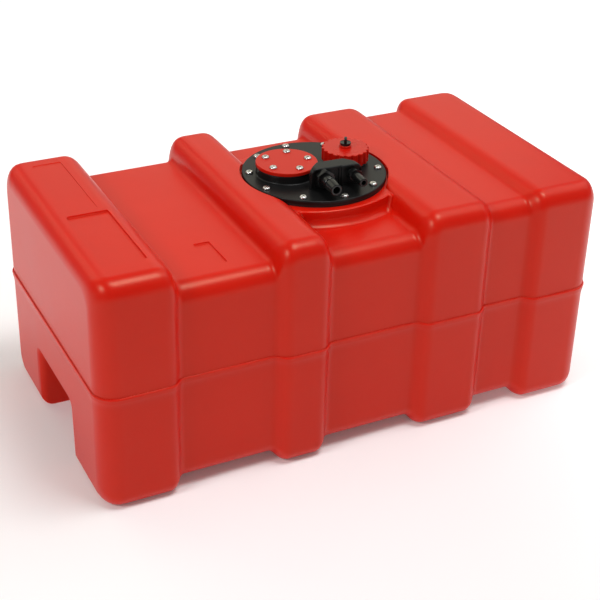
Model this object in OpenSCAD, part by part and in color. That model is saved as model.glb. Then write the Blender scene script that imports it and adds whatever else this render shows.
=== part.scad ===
// Fixed fuel tank: a one-piece moulded body with four raised lobes, and a bolted
// flange plate that carries the filler cap, the sender cover and two hose tails.
// +Z is up, +X runs along the body, the front is -Y. The origin lies under the middle.

/* [Tank body] */
// Length of the moulded body
tank_l = 650; // [600:5:720]
// Width of the moulded body over the lobes
tank_w = 350; // [320:5:400]
// Height of the moulded body over the lobes
tank_h = 292; // [270:2:320]
// Wall thickness of the moulding
wall = 5; // [4:0.5:6]
// Radius of the upright corners at the ends
end_r = 27; // [22:1:32]
// Radius of the long edges and of the end faces' edges
edge_r = 18; // [14:1:22]
// Height of the mould's parting line
parting_z = 150; // [130:1:165]
// Height of the belt under the parting line
belt_h = 13; // [8:1:20]
// How far the belt stands out at the parting line
belt_out = 2; // [1:0.5:3]
// Height of the belt's upper lip
belt_lip = 1.2; // [0.8:0.2:2]

/* [Lobes and troughs] */
// Middle of the first trough along X
trough_1_x = -168; // [-176:1:-160]
// Middle of the second trough, which carries the flange plate
trough_2_x = 18; // [10:1:26]
// Middle of the third trough
trough_3_x = 199; // [194:1:208]
// Width of the first and second trough between flanks
wide_trough_w = 120; // [110:2:126]
// Width of the third trough between flanks
narrow_trough_w = 60; // [52:2:64]
// Depth of the first and second trough in the top
deep_trough = 27.5; // [24:0.5:30]
// Depth of the third trough in the top
shallow_trough = 11.5; // [9:0.5:14]
// Depth of all troughs in the front, the back and the bottom
side_trough = 11; // [8:0.5:13]
// Extra width of the troughs at each flank in the front, the back and the bottom
side_flare = 3; // [0:0.5:5]
// Radius of a lobe's shoulder in the top
shoulder_r = 20; // [16:1:22]
// Radius at the foot of a lobe's flank in the top
foot_r = 8; // [6:0.5:9]
// Radius of a lobe's shoulder in the front, the back and the bottom
side_shoulder_r = 16; // [13:1:18]
// Radius at the foot of a lobe's flank in the front, the back and the bottom
side_foot_r = 12; // [9:1:13]
// Steepest slope of a flank, in degrees
flank_steep = 80; // [74:1:82]

/* [Hand-holds] */
// Width of the hand-hold under each end, at its foot
hold_w = 128; // [110:2:150]
// How much narrower each side of the hand-hold is at its top
hold_lean = 4; // [0:0.5:6]
// Height of the hand-hold
hold_h = 90; // [76:2:100]
// Depth of the hand-hold along the body
hold_depth = 75; // [60:1:84]
// Radius of the hand-hold's upper corners
hold_r = 12; // [8:1:18]
// Radius of the upright edges at the hand-hold's mouth
hold_mouth_r = 10; // [8:1:14]

/* [Bare panels] */
// Length and width of the front panel on the first lobe
front_panel = [47, 126]; // [20:1:140]
// Depth of the front panel
front_panel_deep = 2; // [1:0.2:2.6]
// Length and width of the rear panel on the first lobe
rear_panel = [36, 140]; // [20:1:150]
// Depth of the rear panel
rear_panel_deep = 0.8; // [0.4:0.2:1.6]
// Length and width of the small panel in the first trough
trough_panel = [20, 52]; // [12:1:80]
// Depth of the small panel in the first trough
trough_panel_deep = 1.2; // [0.6:0.2:2]
// Middle of the first lobe's panels along X
lobe_panel_x = -275; // [-277:1:-272]
// Gap from the body's centre line to the first lobe's panels
panel_gap = 6; // [4:1:12]
// Middle of the small panel from the first trough's middle
trough_panel_at = [5, -101]; // [-110:1:20]

/* [Fitting pad] */
// Drop from the lobes' top to the pad under the flange
seat_drop = 8.5; // [7.5:0.5:12]
// Thickness of the pad
pad_t = 12.5; // [12:0.5:15]
// Reach of the pad past the plate's edge, to the front and to the back
pad_margin = 8.5; // [6.5:0.5:15]
// What the radius of the pad's front and back edges has over the pad's reach
pad_flat = 25; // [15:1:40]
// Radius of the hollow at the foot of the pad's front and back
pad_cove = 11; // [8:0.5:12]
// Gap round the flange plate where it is let into the lobes
recess_gap = 2.6; // [1.6:0.2:4]
// Width of the plate's seat on the pad, from the plate's edge to the port
seat_w = 21.5; // [19.5:0.5:26]

/* [Flange plate] */
// Diameter of the flange plate
plate_d = 177; // [174:1:180]
// Thickness of the flange plate
plate_t = 5; // [4:0.5:7]
// Edge chamfer of the flange plate
plate_edge = 1; // [0.5:0.1:1.5]
// Thickness of the flange gasket
gasket_t = 3; // [2:0.5:4]
// Distance from the plate's edge to the middle of a flange screw
bolt_edge = 9; // [8:0.5:10]
// Count of flange screws
bolt_count = 10; // [8:1:12]

/* [Screws and inserts] */
// Diameter of a screw's shank
screw_d = 5; // [4:0.5:5.5]
// Diameter of a screw's head
screw_head_d = 9.5; // [8.5:0.5:10]
// Height of a screw's head
screw_head_h = 2.75; // [2.2:0.05:3]
// Width across flats of the socket in a screw's head
screw_socket = 3; // [2.5:0.5:3.5]
// Outer diameter of a threaded insert
insert_d = 8; // [7:0.5:9]
// Length of a flange insert
insert_l = 10; // [8:0.5:11]
// Length of a sender insert
sender_insert_l = 8; // [6:0.5:9]
// Gap between a screw's tip and the bottom of its insert
tip_gap = 1.5; // [1:0.5:3]

/* [Sender cover] */
// Middle of the sender boss from the plate's middle, in hundredths of the plate's diameter
sender_share = [-18.93, 4.8]; // [-20.3:0.01:6.8]
// Diameter of the sender boss
sender_boss_d = 74; // [72:1:75]
// Height of the sender boss
sender_boss_h = 9.5; // [9:0.5:12]
// Diameter of the port through the sender boss
sender_port_d = 40; // [36:1:42]
// Diameter of the sender cover
sender_cover_d = 75.5; // [74:0.5:76]
// Thickness of the sender cover
sender_cover_t = 4.2; // [3:0.2:6]
// Thickness of the sender gasket
sender_gasket_t = 1.2; // [0.8:0.2:2]
// Diameter of the circle of sender screws
sender_circle_d = 54; // [53:0.5:56]
// Count of sender screws
sender_count = 5; // [4:1:6]
// Bearing of the first sender screw, in degrees
sender_turn = 64; // [50:1:80]

/* [Filler] */
// Middle of the filler neck from the plate's middle, in hundredths of the plate's diameter
filler_share = [26.67, 5.08]; // [3.4:0.01:27]
// Bore of the filler neck
neck_bore_d = 34; // [30:1:35]
// Thread diameter of the filler neck
neck_d = 43; // [42:0.5:44]
// Height of the filler neck over the plate
neck_h = 14.5; // [13:0.5:17]
// Diameter of the collar round the neck's foot
neck_collar_d = 50; // [47:1:52]
// Height of the collar round the neck's foot
neck_collar_h = 2.6; // [2:0.2:3]
// Diameter of the filler cap over its grip
cap_d = 58.4; // [56:0.4:60]
// Gap between the plate and the cap's lower edge
cap_lift = 3.7; // [3.5:0.1:5]
// Thickness of the cap's roof
cap_roof_t = 3.2; // [2.6:0.2:5]
// Count of grip flutes round the cap
flute_count = 20; // [16:1:22]
// Bearing of the first grip flute, in degrees
flute_turn = 8; // [0:1:18]
// Radius of a grip flute
flute_r = 2.4; // [2:0.1:2.8]
// Depth of a grip flute
flute_deep = 2.2; // [1.4:0.1:2.4]
// Thickness of the cap's seal
cap_seal_t = 2; // [1.6:0.2:3]
// Diameter of the boss in the middle of the cap
cap_boss_d = 15; // [14:0.5:17]
// Height of the boss in the middle of the cap
cap_boss_h = 2.8; // [2:0.2:4]

/* [Vent knob] */
// Diameter of the vent knob's flange
knob_d = 13.6; // [12.4:0.2:15]
// Thickness of the vent knob's flange
knob_t = 2.4; // [1.8:0.2:3]
// Width of the knob's grip blade
blade_w = 9; // [7:0.5:10]
// Thickness of the knob's grip blade
blade_t = 3.6; // [2.6:0.2:4]
// Height of the knob's grip blade
blade_h = 6.5; // [5:0.5:9]
// Bearing of the grip blade, in degrees
blade_turn = 61; // [0:1:90]
// Diameter of the vent knob's stem
stem_d = 7; // [6:0.5:8]
// Thickness of the vent seal
vent_seal_t = 1.2; // [1:0.1:2]
// Diameter of the vent seal
vent_seal_d = 11.6; // [10.4:0.2:12]
// Rise of the vent knob when it is unscrewed
vent_rise = 2.2; // [1.8:0.1:2.4]
// Thickness of the clip under the cap's roof
clip_t = 1.2; // [0.8:0.1:1.6]
// Diameter of the clip under the cap's roof
clip_d = 12; // [10.5:0.5:14]

/* [Outlet block] */
// Turn of the outlet block on the plate, in degrees
outlet_turn = 3; // [0:0.5:9]
// Middle of the vent bay from the plate's middle
vent_bay_x = -8; // [-10:0.5:-6]
// Width of the vent bay
vent_bay_w = 40; // [36:1:42]
// Width of the fuel bay
fuel_bay_w = 27; // [25:1:30]
// Shift of the vent tail from the middle of its bay
vent_tail_shift = -2.5; // [-4:0.5:0]
// Shift of the fuel tail from the middle of its bay
fuel_tail_shift = 2.5; // [0:0.5:3]
// Distance from the plate's middle to the vent bay's face, in hundredths of the plate's diameter
block_share = 28.81; // [28:0.01:30]
// Depth of the block from the vent bay's face to its back
block_deep = 20; // [19:0.5:22]
// How far the fuel bay's face stands out before the vent bay's
bay_step = 1.5; // [0.5:0.5:3]
// Height of the outlet block
block_h = 26; // [24:1:30]
// Radius of the block's upper ends
block_r = 9; // [6:1:10]
// Thickness of the lip round the front of each bay
bay_lip = 2.2; // [1.6:0.2:3]
// Cut-off of the block's rear corners along X and Y
block_cut = [17, 16]; // [10:1:22]
// Height of the hose tails' axes over the plate
tail_z = 13.5; // [13:0.5:15]

/* [Vent hose tail] */
// Width across flats of the vent tail's hexagon
vent_hex = 22; // [20:0.5:22.5]
// Length of the vent tail's hexagon
vent_hex_l = 8; // [6.5:0.5:10]
// Diameter of the vent tail's lands
vent_land_d = 16; // [14:0.5:17]
// Length of the vent tail's inner land
vent_land_l = 12; // [9:0.5:14]
// Length of the vent tail's tapered nose
vent_nose_l = 13.5; // [10:0.5:16]
// Diameter of the vent tail at its tip
vent_tip_d = 12.6; // [11:0.2:13.4]
// Bore of the vent tail
vent_bore_d = 9; // [7:0.5:10]
// Diameter of the vent tail's threaded spigot
vent_spigot_d = 13; // [12:0.5:14]

/* [Fuel hose tail] */
// Width across flats of the fuel tail's hexagon
fuel_hex = 15; // [14:0.5:16]
// Length of the fuel tail's hexagon
fuel_hex_l = 7; // [6:0.5:9]
// Diameter of the fuel tail's tube
fuel_land_d = 10; // [9:0.2:11]
// Length of the fuel tail's tube
fuel_land_l = 21; // [15:0.5:25]
// Bore of the fuel tail
fuel_bore_d = 6; // [5:0.2:6.6]
// Diameter of the fuel tail's threaded spigot
fuel_spigot_d = 9.6; // [9:0.2:10.4]

/* [Tail sockets] */
// Length of a hose tail's threaded spigot
spigot_l = 6; // [5:0.5:7]
// Thickness of a hose tail's sealing ring
tail_seal_t = 1.5; // [1:0.1:2]
// Width of a hose tail's sealing ring
tail_seal_w = 2.4; // [2:0.1:3]

/* [Fuel pickup] */
// Outer diameter of the pickup tube
tube_d = 10; // [9:0.5:11]
// Bore of the pickup tube
tube_bore_d = 7; // [6:0.5:8]
// Depth of the tube's socket over the plate's underside
tube_socket_l = 4; // [3:0.2:4.4]
// Diameter of the spigot under the plate that holds the tube
tube_boss_d = 18; // [16:1:20]
// Length of the spigot under the plate that holds the tube
tube_boss_l = 12; // [8:1:16]
// Gap between the strainer and the tank's floor
strainer_gap = 5; // [3:0.5:9]
// Diameter of the strainer
strainer_d = 22; // [20:1:24]
// Height of the strainer
strainer_h = 26; // [22:1:32]
// Thickness of the strainer's plastic and of its end plate
strainer_t = 2; // [1.6:0.2:3]
// Count of the strainer's ribs
strainer_ribs = 6; // [4:1:8]
// Thickness of the strainer's gauze
gauze_t = 0.6; // [0.4:0.1:1]

/* [Hidden] */
$fn = 64;

moulding_red = "#cf2a1e";
fitting_black = "#232425";
rubber_black = "#161616";
stainless = "#c9cacb";
brass = "#b8903f";
gauze_grey = "#9a9c98";

// Clearances: pieces that are pressed or screwed together, and screws through holes
fit_gap = 0.05;
screw_gap = 0.25;
// Extra length that carries a cut past a face
past = 1;
// Size of small broken edges
small_edge = 0.6;

// Places and widths that follow the flange plate's size
bolt_circle_d = plate_d - 2 * bolt_edge;
port_d = plate_d - 2 * seat_w;
pad_reach = plate_d / 2 + pad_margin;
pad_r = pad_reach + pad_flat;
sender_at = sender_share * plate_d / 100;
filler_at = filler_share * plate_d / 100;
block_reach = block_share * plate_d / 100;

// Heights that the pieces share
pad_z = tank_h - seat_drop;
plate_z = pad_z + gasket_t;
deck_z = plate_z + plate_t;
trough_z = tank_h - deep_trough;
floor_z = side_trough + wall;
boss_z = deck_z + sender_boss_h;
cover_z = boss_z + sender_gasket_t;
neck_z = deck_z + neck_h;
roof_z = neck_z + cap_seal_t;
cap_z = roof_z + cap_roof_t;
cap_boss_z = cap_z + cap_boss_h;
knob_z = cap_boss_z + vent_seal_t;
clip_z = roof_z - vent_rise - clip_t - small_edge;
axis_z = deck_z + tail_z;
socket_z = plate_z + tube_socket_l;

// Each trough: middle, width between flanks, depth in the top
troughs = [[trough_1_x, wide_trough_w, deep_trough],
           [trough_2_x, wide_trough_w, deep_trough],
           [trough_3_x, narrow_trough_w, shallow_trough]];

// Flank of a trough as two tangent arcs: crown radius rc, foot radius rk, depth d.
// The slope at the turn stays under flank_steep, and a straight run takes up the rest.
function flank(d, rc, rk) = d >= (rc + rk) * (1 - cos(flank_steep)) ? flank_steep : acos(1 - d / (rc + rk));
function half_run(d, rc, rk) =
    let (a = flank(d, rc, rk)) max(0, d - (rc + rk) * (1 - cos(a))) / tan(a) / 2;
// Depth at a distance u past the turn, counted into the trough
function flank_depth(u, d, rc, rk) =
    let (a = flank(d, rc, rk), s = half_run(d, rc, rk), crown = -rc * sin(a) - s, foot = rk * sin(a) + s)
    u <= crown ? 0
    : u < -s ? rc - sqrt(rc * rc - pow(u - crown, 2))
    : u <= s ? rc * (1 - cos(a)) + (u + s) * tan(a)
    : u < foot ? d - rk + sqrt(rk * rk - pow(foot - u, 2))
    : d;

function total(list, i = 0) = i < len(list) ? list[i] + total(list, i + 1) : 0;
// Depth of the troughs at x, in the top or in the sides, for a skin set in by inset
function trough_depth(x, inset, in_top) = total([for (t = troughs)
    let (d = in_top ? t[2] : side_trough,
         rc = in_top ? shoulder_r : side_shoulder_r,
         rk = in_top ? foot_r : side_foot_r,
         half = t[1] / 2 + (in_top ? 0 : side_flare) + inset * sin(flank(d, rc, rk)))
    flank_depth(half - abs(x - t[0]), d, rc - inset, rk + inset)]);

// How far a rounded end draws in at a distance t from the end
function end_draw(t, r) = t >= r ? 0 : r - sqrt(r * r - pow(r - max(t, 0), 2));

// Stations along X, from end to end: the round ends and both flanks of each trough
function end_stations(inset, steps) =
    [for (i = [0 : steps]) (end_r - inset) * (1 - cos(90 * i / steps))];
function flank_stations(t, inset, steps) =
    let (rc = shoulder_r - inset, rk = foot_r + inset, a = flank(t[2], rc, rk), s = half_run(t[2], rc, rk),
         shift = inset * sin(a))
    concat([for (i = [0 : steps]) -s - rc * (sin(a) - sin(a * i / steps)) - shift],
           [for (i = [0 : steps - 1]) s + rk * (sin(a) - sin(a * (steps - i) / steps)) - shift],
           [rk * sin(a) + s - shift + side_flare]);
function stations(inset, steps) =
    let (half = tank_l / 2 - inset, ends = end_stations(inset, steps), last = len(ends) - 1)
    concat([for (e = ends) e - half],
           [for (t = troughs) let (f = flank_stations(t, inset, steps), n = len(f) - 1)
               each concat([for (u = f) t[0] - t[1] / 2 + u],
                           [for (i = [0 : n]) t[0] + t[1] / 2 - f[n - i]])],
           [for (i = [0 : last]) half - ends[last - i]]);

// One section of the body across X, as the front half from the bottom up and its mirror image
function section(x, inset, steps) =
    let (t = tank_l / 2 - inset - abs(x),
         r_end = end_r - inset,
         r = edge_r - inset,
         side = trough_depth(x, inset, false),
         half = tank_w / 2 - inset - side - end_draw(t, r_end),
         low = inset + side + end_draw(t, r),
         high = tank_h - inset - trough_depth(x, inset, true) - end_draw(t, r),
         lean = t >= r_end ? 0 : asin((r_end - t) / r_end),
         lip = [x + sign(x) * belt_out * sin(lean), -half - belt_out * cos(lean), parting_z],
         front = concat(
             [for (i = [0 : steps]) let (a = 90 * i / steps)
                 [x, -half + r - r * sin(a), low + r - r * cos(a)]],
             inset > 0 ? [] : [[x, -half, parting_z - belt_h], lip, [x, -half, parting_z + belt_lip]],
             [for (i = [0 : steps]) let (a = 90 * i / steps)
                 [x, -half + r - r * cos(a), high - r + r * sin(a)]]),
         last = len(front) - 1)
    concat(front, [for (i = [0 : last]) let (p = front[last - i]) [p.x, -p.y, p.z]]);

// Solid through a row of sections with equal counts of points
module loft(sections) {
    n = len(sections[0]);
    m = len(sections);
    skin = [for (i = [0 : m - 2], j = [0 : n - 1]) let (k = (j + 1) % n)
        [i * n + j, i * n + k, (i + 1) * n + k, (i + 1) * n + j]];
    near = [for (j = [0 : n / 2 - 2]) [n - 1 - j, n - 2 - j, j + 1, j]];
    far = [for (j = [0 : n / 2 - 2]) let (b = (m - 1) * n)
        [b + j, b + j + 1, b + n - 2 - j, b + n - 1 - j]];
    polyhedron([for (s = sections) each s], concat(skin, near, far), convexity = 6);
}

// The body as a solid, drawn in from its outer skin by inset
module body_form(inset, flank_steps, edge_steps) {
    loft([for (x = stations(inset, flank_steps)) section(x, inset, edge_steps)]);
}

module ring(outer_d, inner_d, h) {
    difference() {
        cylinder(d = outer_d, h = h);
        translate([0, 0, -past]) cylinder(d = inner_d, h = h + 2 * past);
    }
}

// Places its children on a circle of n points that starts at a bearing
module round_about(d, n, first = 90) {
    for (i = [0 : n - 1]) rotate([0, 0, first + 360 * i / n]) translate([d / 2, 0, 0]) children();
}

module at_plate(z) { translate([trough_2_x, 0, z]) children(); }
module at_sender(z) { at_plate(z) translate(sender_at) children(); }
module at_filler(z) { at_plate(z) translate(filler_at) children(); }
module at_block(z) { at_plate(z) rotate([0, 0, -outlet_turn]) children(); }
module at_flange_screws(z) { at_plate(z) round_about(bolt_circle_d, bolt_count) children(); }
module at_sender_screws(z) {
    at_sender(z) round_about(sender_circle_d, sender_count, sender_turn) children();
}

// Section of the hand-hold across X, grown by a wall and opened out by flare at the mouth
function hold_section(x, grow, flare) =
    let (foot = hold_w / 2 + grow + flare,
         head = foot - hold_lean,
         top = hold_h + grow,
         r = hold_r + grow,
         steps = 4,
         front = concat([[x, -foot, -past]],
             [for (i = [0 : steps]) let (a = 90 * i / steps)
                 [x, -head + r - r * cos(a), top - r + r * sin(a)]]),
         last = len(front) - 1)
    concat(front, [for (i = [0 : last]) let (p = front[last - i]) [p.x, -p.y, p.z]]);

// Hand-hold under the end at +X, with a rounded mouth that runs out past the end face
module hand_hold(grow) {
    steps = 4;
    end_x = tank_l / 2;
    turn = 80;
    mouth_x = end_x - hold_mouth_r * (1 - sin(turn));
    loft(concat([hold_section(end_x - hold_depth - grow, grow, 0)],
        [for (i = [0 : steps]) let (a = turn * i / steps)
            hold_section(end_x - hold_mouth_r * (1 - sin(a)), grow, hold_mouth_r * (1 - cos(a)))],
        [hold_section(end_x + past, grow,
            hold_mouth_r * (1 - cos(turn)) + (end_x + past - mouth_x) * tan(turn))]));
}

module hand_holds(grow) {
    hand_hold(grow);
    mirror([1, 0, 0]) hand_hold(grow);
}

// Round form with a hollow foot, from a little under the trough's floor up to the pad
module pad_round() {
    sink = wall / 2;
    height = pad_z - trough_z + sink;
    foot = sink - past / 2;
    rotate_extrude($fn = 128) difference() {
        square([pad_r + pad_cove, height]);
        translate([pad_r + pad_cove, foot + pad_cove]) circle(pad_cove);
        translate([pad_r, foot + pad_cove]) square([pad_cove + past, height]);
    }
}

// Raised pad across the second trough, with curved front and back edges
module fitting_pad() {
    half_w = wide_trough_w / 2 + shoulder_r / 2;
    shift = pad_r - pad_reach;
    at_plate(trough_z - wall / 2) intersection() {
        translate([0, shift, 0]) pad_round();
        translate([0, -shift, 0]) pad_round();
        translate([-half_w, -2 * pad_r, 0]) cube([2 * half_w, 4 * pad_r, tank_h]);
    }
}

// Pocket of a bare panel, sunk from a height z
module panel(size, deep, x, y, z) {
    translate([x - size.x / 2, y - size.y / 2, z - deep]) cube([size.x, size.y, deep + past]);
}

// Fuel space: the body's inside, less what the hand-holds and the pad keep solid
module fuel_space() {
    recess_d = plate_d + 2 * recess_gap;
    difference() {
        body_form(wall, 3, 3);
        hand_holds(wall);
        at_plate(pad_z - pad_t) cylinder(d = recess_d + 2 * wall, h = tank_h);
    }
    at_plate(trough_z - 2 * wall)
        cylinder(r = pad_reach - 2 * wall, h = pad_z - pad_t - trough_z + 2 * wall);
}

module tank_shell() {
    color(moulding_red) difference() {
        union() {
            body_form(0, 5, 4);
            fitting_pad();
        }
        at_plate(pad_z) cylinder(d = plate_d + 2 * recess_gap, h = tank_h);
        hand_holds(0);
        fuel_space();
        at_plate(pad_z - pad_t - past) cylinder(d = port_d, h = pad_t + 2 * past);
        at_flange_screws(pad_z - insert_l) cylinder(d = insert_d + 2 * fit_gap, h = insert_l + past);
        panel(front_panel, front_panel_deep, lobe_panel_x, -panel_gap - front_panel.y / 2, tank_h);
        panel(rear_panel, rear_panel_deep, lobe_panel_x, panel_gap + rear_panel.y / 2, tank_h);
        panel(trough_panel, trough_panel_deep, trough_1_x + trough_panel_at.x, trough_panel_at.y, trough_z);
    }
}

// Threaded insert with a blind hole, its mouth at z = 0
module insert(l) {
    translate([0, 0, -l]) difference() {
        cylinder(d = insert_d, h = l);
        translate([0, 0, past]) cylinder(d = screw_d + 2 * fit_gap, h = l);
    }
}

// Button-head screw with its seat at z = 0 and a shank that reaches down to the depth reach
module screw(reach) {
    crown_r = screw_head_h / 2;
    difference() {
        union() {
            rotate_extrude() {
                square([screw_head_d / 2 - crown_r, screw_head_h]);
                square([screw_head_d / 2, screw_head_h - crown_r]);
                translate([screw_head_d / 2 - crown_r, screw_head_h - crown_r]) intersection() {
                    circle(crown_r);
                    square(crown_r);
                }
            }
            translate([0, 0, -reach]) cylinder(d = screw_d, h = reach + crown_r);
        }
        translate([0, 0, screw_head_h / 2]) cylinder(d = screw_socket / cos(30), h = screw_head_h, $fn = 6);
    }
}

module flange_inserts() { color(brass) at_flange_screws(pad_z) insert(insert_l); }

module flange_gasket() {
    color(rubber_black) difference() {
        at_plate(pad_z) ring(plate_d - 2 * plate_edge, port_d, gasket_t);
        at_flange_screws(pad_z - past) cylinder(d = screw_d + 2 * screw_gap, h = gasket_t + 2 * past);
    }
}

// Front outline of the block from one end to the other, drawn in by lip
module block_outline(left, right, lip) {
    translate([left + lip, 0]) square([right - left - 2 * lip, block_h - block_r]);
    translate([left + block_r, 0]) square([right - left - 2 * block_r, block_h - lip]);
    for (x = [left + block_r, right - block_r]) translate([x, block_h - block_r]) circle(block_r - lip);
}

// Pocket in a bay's face, as deep as the sealing ring of its hose tail
module bay_pocket(face) {
    translate([0, face + tail_seal_t, 0]) rotate([90, 0, 0]) linear_extrude(tail_seal_t + past) children();
}

// Outlet block: a plan with a fuel bay that stands out and cut rear corners, under a rounded front outline
module block_form() {
    left = vent_bay_x - vent_bay_w / 2;
    split = vent_bay_x + vent_bay_w / 2;
    right = split + fuel_bay_w;
    front = -block_reach;
    back = front + block_deep;
    difference() {
        intersection() {
            translate([0, 0, -plate_edge]) linear_extrude(block_h + plate_edge) polygon([
                [left, front], [split, front], [split, front - bay_step], [right, front - bay_step],
                [right, back - block_cut.y], [right - block_cut.x, back],
                [left + block_cut.x, back], [left, back - block_cut.y]]);
            rotate([90, 0, 0]) linear_extrude(2 * block_reach) {
                block_outline(left, right, 0);
                translate([left, -plate_edge]) square([right - left, 2 * plate_edge]);
            }
        }
        bay_pocket(front) intersection() {
            block_outline(left, right, bay_lip);
            translate([left, 0]) square([split - bay_lip - left, block_h]);
        }
        bay_pocket(front - bay_step) block_outline(split, right, bay_lip);
    }
}

// Places of the two hose tails on the block's faces: the face at y = 0, the tail towards -Y
vent_tail_x = vent_bay_x + vent_tail_shift;
fuel_tail_x = vent_bay_x + (vent_bay_w + fuel_bay_w) / 2 + fuel_tail_shift;
fuel_reach = block_reach + bay_step;
module at_vent_tail() {
    at_block(axis_z) translate([vent_tail_x, -block_reach, 0]) children();
}
module at_fuel_tail() {
    at_block(axis_z) translate([fuel_tail_x, -fuel_reach, 0]) children();
}
module along_tail() { rotate([90, 0, 0]) children(); }

// Passage from a tail's socket to a drop hole through the plate
function passage_run(bore_d) = spigot_l + bore_d / 2 + small_edge;
module passage(socket_d, bore_d, x, face) {
    run = passage_run(bore_d);
    at_block(axis_z) translate([x, face, 0]) {
        rotate([-90, 0, 0]) translate([0, 0, -past])
            cylinder(d = socket_d + 2 * fit_gap, h = spigot_l + past);
        rotate([-90, 0, 0]) cylinder(d = bore_d, h = run);
        translate([0, run, plate_z - axis_z - past]) cylinder(d = bore_d, h = axis_z - plate_z + past);
    }
}
// Where the fuel passage drops, from the plate's middle in the block's turn
tube_at = [fuel_tail_x, -fuel_reach + passage_run(fuel_bore_d)];
module at_tube(z) { at_block(z) translate(tube_at) children(); }

module flange_plate() {
    color(fitting_black) difference() {
        union() {
            at_plate(plate_z) rotate_extrude($fn = 128) polygon([
                [0, 0], [plate_d / 2, 0], [plate_d / 2, plate_t - plate_edge],
                [plate_d / 2 - plate_edge, plate_t], [0, plate_t]]);
            at_sender(deck_z - plate_edge) cylinder(d = sender_boss_d, h = sender_boss_h + plate_edge);
            at_filler(deck_z - plate_edge) cylinder(d = neck_d, h = neck_h + plate_edge);
            at_filler(deck_z - plate_edge) cylinder(d = neck_collar_d, h = neck_collar_h + plate_edge);
            at_block(deck_z) block_form();
            at_tube(plate_z - tube_boss_l) cylinder(d = tube_boss_d, h = tube_boss_l + plate_edge);
        }
        at_flange_screws(plate_z - past) cylinder(d = screw_d + 2 * screw_gap, h = plate_t + 2 * past);
        at_sender(plate_z - past) cylinder(d = sender_port_d, h = boss_z - plate_z + 2 * past);
        at_sender_screws(boss_z - sender_insert_l)
            cylinder(d = insert_d + 2 * fit_gap, h = sender_insert_l + past);
        at_filler(plate_z - past) cylinder(d = neck_bore_d, h = neck_z - plate_z + 2 * past);
        passage(vent_spigot_d, vent_bore_d, vent_tail_x, -block_reach);
        passage(fuel_spigot_d, fuel_bore_d, fuel_tail_x, -fuel_reach);
        at_tube(plate_z - tube_boss_l - past)
            cylinder(d = tube_d + 2 * fit_gap, h = tube_boss_l + tube_socket_l + past);
    }
}

module flange_screws() {
    color(stainless) at_flange_screws(deck_z) screw(plate_t + gasket_t + insert_l - past - tip_gap);
}

module sender_gasket() {
    color(rubber_black) difference() {
        at_sender(boss_z) ring(sender_boss_d, sender_port_d, sender_gasket_t);
        at_sender_screws(boss_z - past)
            cylinder(d = screw_d + 2 * screw_gap, h = sender_gasket_t + 2 * past);
    }
}

module sender_inserts() { color(brass) at_sender_screws(boss_z) insert(sender_insert_l); }

module sender_cover() {
    color(moulding_red) difference() {
        at_sender(cover_z) rotate_extrude($fn = 96) polygon([
            [0, 0], [sender_cover_d / 2, 0], [sender_cover_d / 2, sender_cover_t - small_edge],
            [sender_cover_d / 2 - small_edge, sender_cover_t], [0, sender_cover_t]]);
        at_sender_screws(cover_z - past)
            cylinder(d = screw_d + 2 * screw_gap, h = sender_cover_t + 2 * past);
    }
}

module sender_screws() {
    color(stainless) at_sender_screws(cover_z + sender_cover_t)
        screw(sender_cover_t + sender_gasket_t + sender_insert_l - past - tip_gap);
}

module vent_tail_seal() {
    color(rubber_black) at_vent_tail() along_tail() translate([0, 0, -tail_seal_t])
        ring(vent_spigot_d + 2 * fit_gap + 2 * tail_seal_w, vent_spigot_d + 2 * fit_gap, tail_seal_t);
}

module fuel_tail_seal() {
    color(rubber_black) at_fuel_tail() along_tail() translate([0, 0, -tail_seal_t])
        ring(fuel_spigot_d + 2 * fit_gap + 2 * tail_seal_w, fuel_spigot_d + 2 * fit_gap, tail_seal_t);
}

// Vent tail: spigot, hexagon, inner land, groove, outer land and tapered nose, bored through
module vent_hose_tail() {
    groove_l = 1.6;
    groove_deep = 0.8;
    outer_land_l = 2;
    land_end = vent_hex_l + vent_land_l;
    groove_end = land_end + groove_l;
    nose_start = groove_end + outer_land_l;
    tip = nose_start + vent_nose_l;
    color(fitting_black) at_vent_tail() along_tail() difference() {
        union() {
            translate([0, 0, -spigot_l]) cylinder(d = vent_spigot_d, h = spigot_l + past);
            cylinder(d = vent_hex / cos(30), h = vent_hex_l, $fn = 6);
            translate([0, 0, vent_hex_l]) cylinder(d = vent_land_d, h = vent_land_l);
            translate([0, 0, land_end - past])
                cylinder(d = vent_land_d - 2 * groove_deep, h = groove_l + 2 * past);
            translate([0, 0, groove_end]) cylinder(d = vent_land_d, h = outer_land_l);
            translate([0, 0, nose_start]) cylinder(d1 = vent_land_d, d2 = vent_tip_d, h = vent_nose_l);
        }
        translate([0, 0, -spigot_l - past]) cylinder(d = vent_bore_d, h = spigot_l + tip + 2 * past);
    }
}

// Fuel tail: spigot, hexagon and a plain tube with a broken edge, bored through
module fuel_hose_tail() {
    tip = fuel_hex_l + fuel_land_l;
    color(fitting_black) at_fuel_tail() along_tail() difference() {
        union() {
            translate([0, 0, -spigot_l]) cylinder(d = fuel_spigot_d, h = spigot_l + past);
            cylinder(d = fuel_hex / cos(30), h = fuel_hex_l, $fn = 6);
            translate([0, 0, fuel_hex_l]) cylinder(d = fuel_land_d, h = fuel_land_l);
            translate([0, 0, tip])
                cylinder(d1 = fuel_land_d, d2 = fuel_land_d - 2 * small_edge, h = small_edge);
        }
        translate([0, 0, -spigot_l - past]) cylinder(d = fuel_bore_d, h = spigot_l + tip + 2 * past);
    }
}

strainer_z = floor_z + strainer_gap;
// The tube's lower end stands on the strainer's inner step
tube_end_z = strainer_z + strainer_h - 2 * strainer_t;

module pickup_tube() {
    color(fitting_black) at_tube(tube_end_z) ring(tube_d, tube_bore_d, socket_z - tube_end_z);
}

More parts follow.
